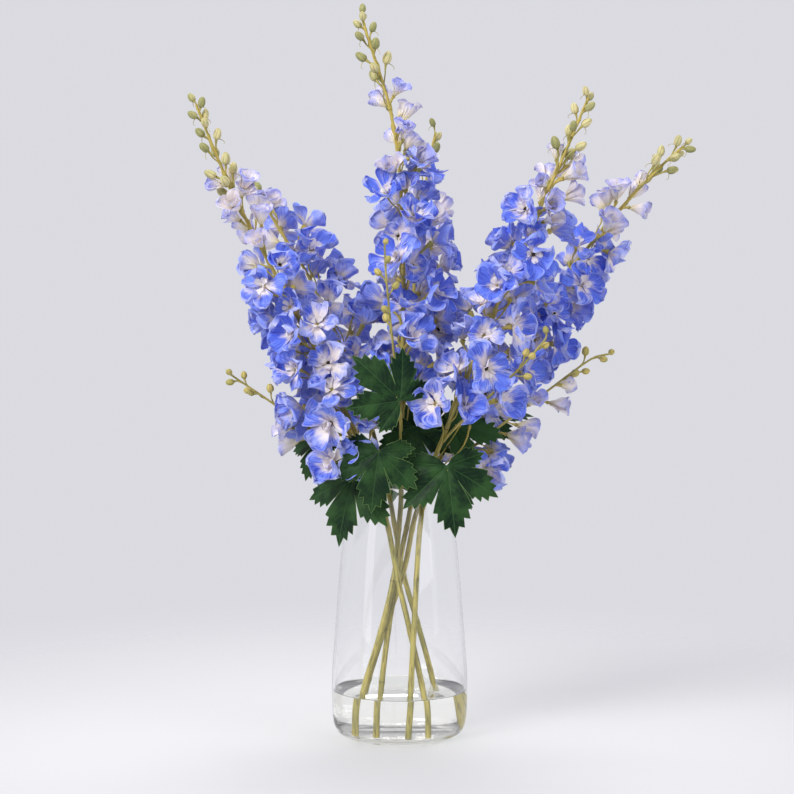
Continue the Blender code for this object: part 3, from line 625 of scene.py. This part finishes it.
LEAVES = (  # stem, height its stalk leaves it, blade's start and tip, the way its face looks, length
    ("centre_front", 352, (0, -84, 404), (-40, -96, 450), (0.1, -1.0, 0.45), 72),
    ("centre_front", 326, (16, -12, 366), (20, -36, 312), (0.05, -1.0, 0.25), 62),
    ("left_front", 306, (-24, -68, 344), (-34, -84, 280), (-0.1, -1.0, 0.3), 70),
    ("right_front", 300, (54, -56, 326), (66, -86, 252), (0.1, -1.0, 0.4), 80),
    ("left_front", 296, (-52, -36, 310), (-80, -52, 240), (-0.5, -0.9, 0.4), 80),
    ("left_front", 314, (-94, 8, 346), (-116, 2, 304), (-0.5, -0.8, 0.3), 48),
    ("left_back", 292, (-56, 46, 306), (-100, 66, 288), (-0.3, 0.3, 0.9), 54),
    ("centre_back", 296, (8, 66, 322), (-6, 112, 286), (0.0, 0.6, 0.9), 78),
    ("right_back", 330, (86, 44, 372), (142, 52, 384), (0.1, -0.4, 0.9), 72),
    ("right_back", 298, (58, 48, 306), (92, 84, 258), (0.5, 0.6, 0.6), 62),
    ("right_front", 308, (60, -4, 368), (96, -14, 364), (0.1, -0.9, 0.6), 62),
    ("centre_back", 318, (32, 16, 356), (44, 6, 404), (0.1, -1.0, 0.15), 50),
)


def leaf_outline():
    """The angle and the reach of each rim point, lobe by lobe: a tooth table mirrored about the rib,
    then the notch half way to the next lobe. Also each point's lobe and its offset from the rib."""
    angles, reaches = [LOBES[0][0] - HEEL[0]], [HEEL[1]]
    for k, (rib, reach) in enumerate(LOBES):
        for offset, share in [(-a, r) for a, r in TEETH[:0:-1]] + list(TEETH):
            angles.append(rib + offset)
            reaches.append(reach * share)
        last = k + 1 == len(LOBES)
        angles.append(rib + HEEL[0] if last else (rib + LOBES[k + 1][0]) / 2)
        reaches.append(HEEL[1] if last else NOTCH_REACH)
    return np.array(angles, float), np.array(reaches)


def two_faces(grid, thickness, uv, **marks):
    """A thin closed blade from one sheet: both faces stand off it along its normal, by half the
    thickness in the middle and by nothing at the rim, where they meet."""
    rows, columns = grid.shape[1:3]
    normal = np.cross(np.gradient(grid, axis=1), np.gradient(grid, axis=2))
    length = np.linalg.norm(normal, axis=-1, keepdims=True)
    normal = normal / np.maximum(length, 1e-12)
    r = np.linspace(-1, 1, rows)[:, None]
    c = np.linspace(-1, 1, columns)
    swell = ((1 - r**8) * (1 - c**8))[..., None]
    off = normal * swell * thickness / 2
    uv = np.broadcast_to(uv, (*grid.shape[:3], 2))
    return [sheet((grid + off)[:, :, ::-1], uv[:, :, ::-1], **marks, back=0.0),
            sheet(grid - off, uv, **marks, back=1.0)]


def leaf_blade(length, place, seed, steps=2, rows=10):
    """The blade as a fan of rays from the stalk: each ray runs to the rim's reach at its angle. It
    arches down with the square of the distance, folds up between the ribs and waves at the rim.
    Its map gives the distance off the nearest rib and the distance along it, in blade lengths."""
    keys, reaches = leaf_outline()
    count = (len(keys) - 1) * steps + 1
    angle = np.interp(np.linspace(0, len(keys) - 1, count), np.arange(len(keys)), keys)
    reach = np.interp(angle, keys, reaches)
    ribs = np.array([rib for rib, _ in LOBES])
    nearest = np.abs(angle[:, None] - ribs).argmin(axis=1)
    offset = np.radians(angle - ribs[nearest])
    out = np.linspace(0, 1, rows + 1)[:, None]
    far = out * reach
    turn = np.radians(angle)
    phase = np.random.default_rng(seed).uniform(0, math.tau, 2)
    groove = 0.02 * np.exp(-(offset / 0.12)**2) * np.sin(math.pi * out)
    lift = LEAF_FOLD * np.abs(np.sin(offset)) * far**0.8 - groove
    wave = 0.016 * np.sin(5 * turn + phase[0]) * out**2 + 0.010 * np.sin(11 * turn + phase[1]) * out**3
    rise = lift + wave - LEAF_ARCH * far**2
    local = length * np.stack([far * np.cos(turn), far * np.sin(turn), rise], -1)
    grid = local @ np.array(place.to_3x3()).T + np.array(place.translation)
    uv = np.stack([far * np.sin(offset), far * np.cos(offset)], -1)
    rim = tubes(grid[None, -1], LEAF_RIM_RADIUS, 4)
    return two_faces(grid[None], BLADE_THICKNESS, uv, variety=seed / len(LEAVES)), [rim]


def leaf_finish():
    """Waxy leaf: deep green, with lighter veins that fork from every rib, and a paler back."""
    made, tree = new_material("waxy_leaf")
    streaks, patches = fibres(tree, 14.0, 45.0)
    off_rib, along_rib = grown(tree)
    off_rib = maths(tree, "ABSOLUTE", off_rib)
    slant = weighted(tree, 0.0, (along_rib, 62.0), (off_rib, -80.6), (patches, 3.1))
    fork = times(tree, ramp(tree, maths(tree, "SINE", slant), 0.80, 1.0),
                 ramp(tree, off_rib, 0.05, 0.16, 0.5, 0.1))
    vein = maths(tree, "MAXIMUM", ramp(tree, off_rib, 0.003, 0.014, 1.0, 0.0), fork)
    tone = weighted(tree, patches, (mark(tree, "variety"), 0.20))
    colour = blend(tree, ramp(tree, tone, 0.40, 0.75), LEAF_DARK, LEAF_MID)
    colour = blend(tree, times(tree, mark(tree, "back"), 0.8), colour, LEAF_BACK)
    colour = blend(tree, times(tree, vein, 0.6), colour, LEAF_VEIN)
    relief = weighted(tree, 0.0, (streaks, 0.3), (vein, -1.0))
    return dressed(made, {"Base Color": colour, "Roughness": ramp(tree, streaks, 0.3, 0.7, 0.44, 0.60),
                          "Specular IOR Level": 0.15}, relief, 0.5, 0.0005)


waxy_leaf = leaf_finish()
leaf_edge = stem_finish("leaf_edge", LEAF_EDGE, LEAF_VEIN, LEAF_MID, LEAF_EDGE)
for number, (name, height, start, tip, up, length) in enumerate(LEAVES, 1):
    root = Vector(routes[name].at_height(height * MM))
    start, tip = (Vector(p) * MM for p in (start, tip))
    along = (tip - start).normalized()
    across = Vector(up).cross(along).normalized()
    normal = along.cross(across)
    place = Matrix((along, across, normal)).transposed().to_4x4()
    place.translation = start
    bend = root.lerp(start, 0.6) + Vector((0, 0, 0.006))
    stalk_line = curve_through([root, bend, start + along * 0.006 - normal * 0.0004], 7)
    thin = np.linspace(1.0, 0.8, len(stalk_line)) * LEAF_STALK_RADIUS
    blade, rim = leaf_blade(length * MM, place, number)
    node_name = f"leaf_{number:02d}"
    make_piece(node_name + "_blade", blade, waxy_leaf, "leaf", node_name)
    make_piece(node_name + "_rim", rim, leaf_edge, "leaf", node_name)
    stalk = tubes(stalk_line[None], thin[None], 8)
    make_piece(node_name + "_stalk", [stalk], stalk_skin, "stem", node_name)


# Below the buds each spike has half-open flowers: four pale sepals in a flaring cup round a few
# inner petals, cream at the base and lilac at the tips. More of them hang on two of the side shoots.
PALE_ZONES = {  # as the buds' zones, then the side most stand on and how far they draw round to it;
    # the second zone of each pair holds the later, smaller ones between them
    "left_front": ((0.112, 0.196, 6, 60, 180, 0.6), (0.110, 0.236, 7, 40, 0, 0.8)),
    "left_back": ((0.034, 0.044, 2, 280, 180, 0.6), (0.024, 0.076, 2, 270)),
    "centre_front": ((0.112, 0.196, 6, 230, 180, 0.6), (0.118, 0.200, 6, 8, 180, 0.7)),
    "centre_back": ((0.093, 0.140, 3, 0, 180, 0.6), (0.075, 0.150, 3, 240)),
    "right_front": ((0.096, 0.152, 5, 110, 180, 0.6), (0.090, 0.162, 5, 30)),
    "right_back": ((0.102, 0.160, 4, 150, 0, 0.6), (0.084, 0.158, 4, 80)),
}
LOW_PALE_ZONES = {
    "left_front": ("pale", (0.112, 0.132, 2, 280, 0, 0.6)),
    "right_back": ("low_pale", (0.078, 0.164, 5, 70, 180, 0.6)),
}
CUP_SEPALS = 4
CUP_PETALS = 3
CUP_SEPAL = (0.0262, 0.0180, 1.34, -0.34, 0.75, 0.34)  # length, width, pitch, bend, hollow, looseness
CUP_PETAL = (0.0175, 0.0095, 1.40, -0.22, 0.60, 0.40)
PETAL_THICKNESS = 0.0005
PALE_CREAM = (0.72, 0.60, 0.26)
PALE_WHITE = (0.86, 0.78, 0.76)
PALE_LILAC = (0.25, 0.30, 0.84)
def petals(spots, count, form, seed, first_turn=0.0, rows=10, columns=10):
    """Petals round each flower's axis. A petal's middle line climbs at an angle that changes evenly
    from its pitch by its bend, and each flower that is shut climbs steeper. The half width goes as
    s * sqrt(1 - s^5) with the share s of the way out, a spoon on a narrow claw. Across, the petal
    rises with the square of the width, its rim waves more the further out it is, and its tip is
    uneven. Every petal draws its own pitch, bend, twist and waves, by as much as its form is loose,
    and its tone partly with its whole flower."""
    length, width, pitch, bend, hollow, loose = form
    flowers_here = len(spots["head"])
    draws = np.random.default_rng(seed).uniform(-1, 1, (flowers_here * count, 12, 1, 1))
    own = loose * draws
    s = (1 - (1 - np.linspace(0, 1, rows + 1))**1.3)[:, None]
    w = np.sin(math.pi / 2 * np.linspace(-1, 1, columns + 1))
    uv = np.stack(np.broadcast_arrays((w + 1) / 2, s), -1)
    size, shut = (np.repeat(spots[key], count)[:, None, None] for key in ("size", "shut"))
    lower = np.tile(np.arange(count) % 2, flowers_here)[:, None, None]
    climb = pitch + 0.45 * own[:, 0] + 0.50 * shut - 0.14 * lower + (bend + 0.9 * own[:, 1]) * s
    step = np.diff(s, axis=0, prepend=0)
    reach = length * (1 + 0.14 * draws[:, 2]) * size
    reach = reach * (1 + 0.09 * loose * s**3 * np.sin(2.5 * math.pi * w + 3.1 * draws[:, 1]))
    out = 0.0010 + reach * np.cumsum(step * np.cos(climb), axis=1)
    up = reach * np.cumsum(step * np.sin(climb), axis=1) - 0.0010
    half = s**0.95 * np.sqrt(np.clip(1 - s**5, 0, 1)) / 0.68
    breadth = 0.5 * width * (1 + 0.14 * draws[:, 3]) * size
    rim = np.abs(w)**2.2 * s**1.2
    waves = rim * np.sin(8.5 * s + 3.1 * draws[:, 4] + 1.6 * np.sign(w)) + 0.6 * s**4 * np.sin(
        2.4 * math.pi * w + 3.1 * draws[:, 5])
    across = breadth * half * w * (1 + 0.05 * np.sin(11 * s + 3.1 * draws[:, 6]))
    across = across + 0.06 * own[:, 7] * reach * s**2
    lift = breadth * ((hollow + 0.9 * own[:, 8]) * (half * w)**2 + 0.42 * loose * waves)
    twist = 0.10 + 0.60 * own[:, 9] * s
    side = across * np.cos(twist) - lift * np.sin(twist)
    lift = across * np.sin(twist) + lift * np.cos(twist)
    local = np.stack([out - lift * np.sin(climb), side, up + lift * np.cos(climb)], -1)
    turns = first_turn + np.tile(math.tau / count * np.arange(count), flowers_here)
    spins = [Matrix.Rotation(turn, 3, "Z") for turn in turns + 0.25 * own[:, 10, 0, 0]]
    frames = np.repeat(spots["frame"], count, axis=0) @ np.array(spins)
    grid = set_in_place(local, frames, np.repeat(spots["head"], count, axis=0))
    variety = 0.5 + 0.2 * draws[:, 11, 0, 0] + np.repeat(spots["tone"], count)
    return two_faces(grid, PETAL_THICKNESS, uv, variety=variety)


def petal_group():
    """Petal veining: fine lines that fan out from the base of a petal, slow washes of colour, and
    the thin rim where the petal is cut. It reads the petal's own map."""
    outputs = ("Veins", "Wash", "Edge", "Height")
    tree, inside = new_group("petal_veining", ("Lines", "Rim"), outputs)
    across, up = grown(tree)
    own = times(tree, mark(tree, "variety"), 37.0)
    fields = []
    for wide, high, detail, roughness in ((inside["Lines"], 2.2, 5.0, 0.65), (2.6, 1.8, 3.0, 0.5)):
        place = node(tree, "CombineXYZ", {0: times(tree, across, wide),
                                                    1: times(tree, up, high), 2: own})
        fields.append(noise(tree, place.outputs[0], 1.0, detail, roughness))
    middle = maths(tree, "ABSOLUTE", weighted(tree, -1.0, (across, 2.0)))
    rim = maths(tree, "MAXIMUM", middle, up)
    edge = node(tree, "MapRange", {0: rim, 1: inside["Rim"], 2: 1.0}).outputs[0]
    node(tree, "NodeGroupOutput", {"Veins": fields[0], "Wash": fields[1], "Edge": edge, "Height": up})
    return tree


petal_veining = petal_group()


def veining(tree, lines, rim):
    """The veins, wash, edge and height of the veining group, placed in a material."""
    return node(tree, "Group", {"Lines": lines, "Rim": rim}, node_tree=petal_veining).outputs[:4]


def silky(made, colour, veins, wash):
    """Soft petal surface: a low sheen that breaks up with the wash, and the veins as fine relief."""
    inputs = {"Base Color": colour, "Roughness": ramp(made.node_tree, wash, 0.3, 0.7, 0.42, 0.62),
              "Subsurface Weight": 0.35, "Subsurface Radius": (1.0, 0.9, 1.1), "Subsurface Scale": 0.0022}
    return dressed(made, inputs, veins, 0.45, 0.0005)


def pale_finish(name, lilac_from, cream_to):
    """Pale petal: cream at the base, pinkish white, then a lilac wash that deepens towards the tip,
    deeper in some petals than in others."""
    made, tree = new_material(name)
    veins, wash, edge, up = veining(tree, 16.0, 0.86)
    lilac = weighted(tree, -0.35, (up, 0.80), (wash, 0.8), (veins, 0.35), (mark(tree, "variety"), 0.35),
                     (edge, 0.06))
    colour = blend(tree, ramp(tree, lilac, lilac_from, lilac_from + 0.60, 0.0, 0.9), PALE_WHITE, PALE_LILAC)
    colour = blend(tree, ramp(tree, up, 0.02, cream_to, 0.9, 0.0), colour, PALE_CREAM)
    return silky(made, colour, veins, wash)


pale_petal = pale_finish("pale_petal", 0.76, 0.58)


def pale_flowers(name, spots, node_name, seed):
    outer = petals(spots, CUP_SEPALS, CUP_SEPAL, seed)
    inner = petals(spots, CUP_PETALS, CUP_PETAL, seed + 2, 0.6, 7, 8)
    make_piece(name + "_half_open_petals", outer + inner, pale_petal, "pale_petal", node_name)
    make_piece(name + "_half_open_stalks", [stalks(spots, 0.0006, 0.0026, joint=0.0006)], stalk_skin,
               "stem", node_name)


for seed, name in enumerate(STEM_POINTS):
    node_name = "pale_florets_" + name
    first, later = PALE_ZONES[name]
    pale_flowers(name, flowers(routes[name], first, "pale", seed + 10), node_name, 200 + seed)
    later_spots = flowers(routes[name], later, "later_pale", seed + 80)
    pale_flowers(name + "_later", later_spots, node_name, 260 + seed)
for seed, name in enumerate(SHOOT_POINTS):
    if name in LOW_PALE_ZONES:
        kind, zone = LOW_PALE_ZONES[name]
        low_spots = flowers(shoots[name], zone, kind, seed + 50)
        pale_flowers(name + "_low", low_spots, "pale_florets_low_" + name, 230 + seed)


# The open flowers: five broad ruffled blue sepals on a pale base, with four small white petals and,
# in half of them, a dark eye in the middle. Each stands on its own stalk, and smaller, later ones
# fill the spike between them.
BLUE_ZONES = {  # in pairs, as for the half-open flowers
    "left_front": ((0.228, 0.456, 18, 120, 0, 0.5), (0.224, 0.458, 17, 230)),
    "left_back": ((0.064, 0.258, 10, 0, 180, 0.5), (0.092, 0.284, 8, 290, 180, 0.75)),
    "centre_front": ((0.206, 0.442, 15, 210, 180, 0.75), (0.198, 0.438, 15, 140, 180, 0.75)),
    "centre_back": ((0.160, 0.272, 5, 90, 180, 0.5), (0.168, 0.286, 4, 330, 180, 0.75)),
    "right_front": ((0.166, 0.420, 15, 350, 180, 0.75), (0.166, 0.386, 15, 80, 0, 0.75)),
    "right_back": ((0.180, 0.368, 13, 190, 180, 0.75), (0.172, 0.400, 15, 104, 180, 0.6)),
}
LOW_BLUE_ZONES = {"right_back": ((0.186, 0.216, 3, 90, 180, 0.6), (0.194, 0.210, 1, 200, 180, 0.6))}
SEPALS = 5
INNER_PETALS = 4
SEPAL = (0.0298, 0.0280, 0.40, 0.22, 0.55, 0.80)
INNER_PETAL = (0.0125, 0.0090, 0.95, -0.35, 0.40, 0.70)
EYE_RADIUS = 0.0024
BLUE_BRIGHT = (0.140, 0.238, 0.90)
BLUE_DEEP = (0.060, 0.100, 0.62)
BLUE_PALE = (0.47, 0.51, 0.94)
SEPAL_CREAM = (0.90, 0.79, 0.74)
BACK_BEIGE = (0.60, 0.52, 0.44)
SEPAL_RIM = (0.70, 0.70, 0.95)
EYE_BROWN = (0.018, 0.010, 0.006)
EYE_DOWN = (0.10, 0.07, 0.03)


def eyes(spots):
    """The dark middle of a flower: a low dome whose rim is drawn out in five short points. Its
    underside is drawn in to the middle, so it closes."""
    r = np.array([1.0, 0.0, 0.25, 0.5, 0.75, 1.0])[:, None]
    height = np.array([0.0, 0.0009, 0.0020, 0.0027, 0.0032, 0.0036])[:, None]
    angle = np.linspace(0, math.tau, 16)
    out = EYE_RADIUS * (1 - r) * (1 + 0.32 * np.cos(5 * angle))
    local = np.stack([out * np.cos(angle), out * np.sin(angle), height + 0 * angle], -1)
    local = local[None] * spots["size"][:, None, None, None]
    return sheet(set_in_place(local, spots["frame"], spots["head"]))


def sepal_finish():
    """Open sepal: periwinkle blue in fine fanned lines, washed paler in places, cream at the base, a
    thin white rim, and a duller back that turns beige towards the stalk."""
    made, tree = new_material("blue_sepal")
    veins, wash, edge, up = veining(tree, 34.0, 0.93)
    back = mark(tree, "back")
    colour = blend(tree, ramp(tree, veins, 0.36, 0.58), BLUE_DEEP, BLUE_BRIGHT)
    light = weighted(tree, -0.55, (wash, 1.0), (veins, 0.7), (mark(tree, "variety"), 0.40))
    colour = blend(tree, ramp(tree, light, 0.45, 0.72, 0.0, 0.75), colour, BLUE_PALE)
    colour = blend(tree, times(tree, back, 0.25), colour, BLUE_PALE)
    ragged = weighted(tree, 0.55, (up, 1.0), (light, -1.1))
    cream = blend(tree, times(tree, back, 0.7), SEPAL_CREAM, BACK_BEIGE)
    colour = blend(tree, ramp(tree, ragged, 0.12, 0.60, 1.0, 0.0), colour, cream)
    thin = times(tree, edge, ramp(tree, wash, 0.42, 0.62, 0.1, 0.7))
    return silky(made, blend(tree, thin, colour, SEPAL_RIM), veins, wash)


def eye_finish():
    """The eye's dark brown down, with lighter hairs."""
    made, tree = new_material("flower_eye")
    hairs = noise(tree, node(tree, "TexCoord").outputs["Object"], 900.0)
    colour = blend(tree, ramp(tree, hairs, 0.5, 0.7), EYE_BROWN, EYE_DOWN)
    return dressed(made, {"Base Color": colour, "Roughness": ramp(tree, hairs, 0.3, 0.7, 0.9, 0.6)},
                   hairs, 0.8, 0.0006)


blue_sepal = sepal_finish()
inner_petal = pale_finish("inner_petal", 1.10, 0.40)
flower_eye = eye_finish()


def open_flowers(name, route, zones, node_name, seed, first_kind="blue"):
    """The open flowers of one zone and the later ones between them, half of them with an eye."""
    groups = ((first_kind, "", (11, 12)), ("later_blue", "later_", (9, 10)))
    for number, (kind, later, grid) in enumerate(groups):
        spots = flowers(route, zones[number], kind, seed + 40 * number)
        label = f"{name}_{later}"
        draw = 300 + 10 * seed + 5 * number
        sepals = petals(spots, SEPALS, SEPAL, draw, 0.0, *grid)
        inner = petals(spots, INNER_PETALS, INNER_PETAL, draw + 1, 0.4, 7, 8)
        dark = {key: values[::2] for key, values in spots.items()}
        make_piece(label + "open_sepals", sepals, blue_sepal, "blue_petal", node_name)
        make_piece(label + "inner_petals", inner, inner_petal, "pale_petal", node_name)
        make_piece(label + "open_stalks", [stalks(spots, 0.0022, 0.0036)], stalk_skin, "stem", node_name)
        make_piece(label + "eyes", [eyes(dark)], flower_eye, "stem", node_name)


for seed, name in enumerate(STEM_POINTS):
    open_flowers(name, routes[name], BLUE_ZONES[name], "blue_florets_" + name, seed + 20)
for seed, name in enumerate(SHOOT_POINTS):
    if name in LOW_BLUE_ZONES:
        node_name = "blue_florets_low_" + name
        open_flowers(name + "_low", shoots[name], LOW_BLUE_ZONES[name], node_name, seed + 60, "low_blue")


# The room: a plain pale floor that fades into the backdrop's colour, a wide soft light from above on
# the left, a weaker one from the right that gives no reflection, one from behind, two strips that
# draw bright edges down the glass, and the camera where the photograph was taken from.
BACKDROP = (0.705, 0.705, 0.752)
FLOOR_WHITE = (0.70, 0.698, 0.705)
FLOOR_GRAIN = (0.7, 0.7, 0.72)
FLOOR_RADIUS = 2.5
SHADE_STRENGTH = 0.75
CAMERA_PLACE = (-0.003, -3.537, 0.779)
CAMERA_DOWN = 6.13
CAMERA_LENS = 139.0


def floor_finish():
    """Pale board that fades away with the distance from the vase."""
    made, tree = new_material("pale_floor")
    place = node(tree, "TexCoord").outputs["Object"]
    far = node(tree, "VectorMath", {0: place}, operation="LENGTH").outputs["Value"]
    grain = ramp(tree, noise(tree, place, 260.0, 2.0), 0.3, 0.7, 0.0, 0.06)
    feed(tree, tree.nodes["Principled BSDF"], {"Base Color": blend(tree, grain, FLOOR_WHITE, FLOOR_GRAIN),
                                               "Roughness": 0.6})
    see_through(made, ramp(tree, far, 0.25, 1.0), (1, 1, 1, 1))
    return made


bpy.ops.mesh.primitive_circle_add(vertices=96, radius=FLOOR_RADIUS, fill_type="NGON",
                                  location=(0, 0, -0.0005))
floor = bpy.context.object
floor.name = "floor"
floor.data.materials.append(floor_finish())


def soft_light(name, place, height, size, power, colour=(1.0, 1.0, 1.0)):
    """A lamp behind a sheet of white cloth, as wide and as tall as its size says, that faces the
    vase's axis at a height."""
    lamp = bpy.data.lights.new(name, "AREA")
    lamp.shape = "RECTANGLE"
    lamp.size, lamp.size_y = size
    lamp.energy = power
    lamp.color = colour
    holder = bpy.data.objects.new(name, lamp)
    holder.location = place
    aim = Vector((0, 0, height)) - Vector(place)
    holder.rotation_euler = aim.to_track_quat("-Z", "Y").to_euler()
    holder.visible_camera = False
    bpy.context.scene.collection.objects.link(holder)
    return holder


soft_light("key", (-1.6, -1.9, 2.3), 0.45, (1.3, 1.3), 72.0, (1.0, 0.985, 0.965))
fill = soft_light("fill", (2.2, -1.6, 1.2), 0.40, (1.6, 2.2), 25.0, (0.96, 0.97, 1.0))
fill.visible_glossy = False
soft_light("top", (0.3, 1.2, 2.6), 0.50, (1.2, 1.2), 24.0)
soft_light("left_strip", (-2.1, -1.2, 0.95), 0.35, (0.8, 2.0), 6.0)
soft_light("right_strip", (2.3, -0.9, 0.95), 0.35, (0.5, 2.0), 1.5)

world = bpy.data.worlds.new("studio")
world.use_nodes = True
sky = world.node_tree
bounced = node(sky, "LightPath").outputs["Is Diffuse Ray"]
feed(sky, sky.nodes["Background"], {"Color": (*BACKDROP, 1),
                                    "Strength": ramp(sky, bounced, 0.0, 1.0, 1.0, SHADE_STRENGTH)})
bpy.context.scene.world = world
bpy.context.scene.view_settings.view_transform = "Standard"

camera = bpy.data.objects.new("camera", bpy.data.cameras.new("camera"))
camera.data.lens = CAMERA_LENS
camera.data.clip_end = 100.0
camera.location = CAMERA_PLACE
camera.rotation_euler = (math.radians(90 - CAMERA_DOWN), 0, 0)
bpy.context.scene.collection.objects.link(camera)
bpy.context.scene.camera = camera
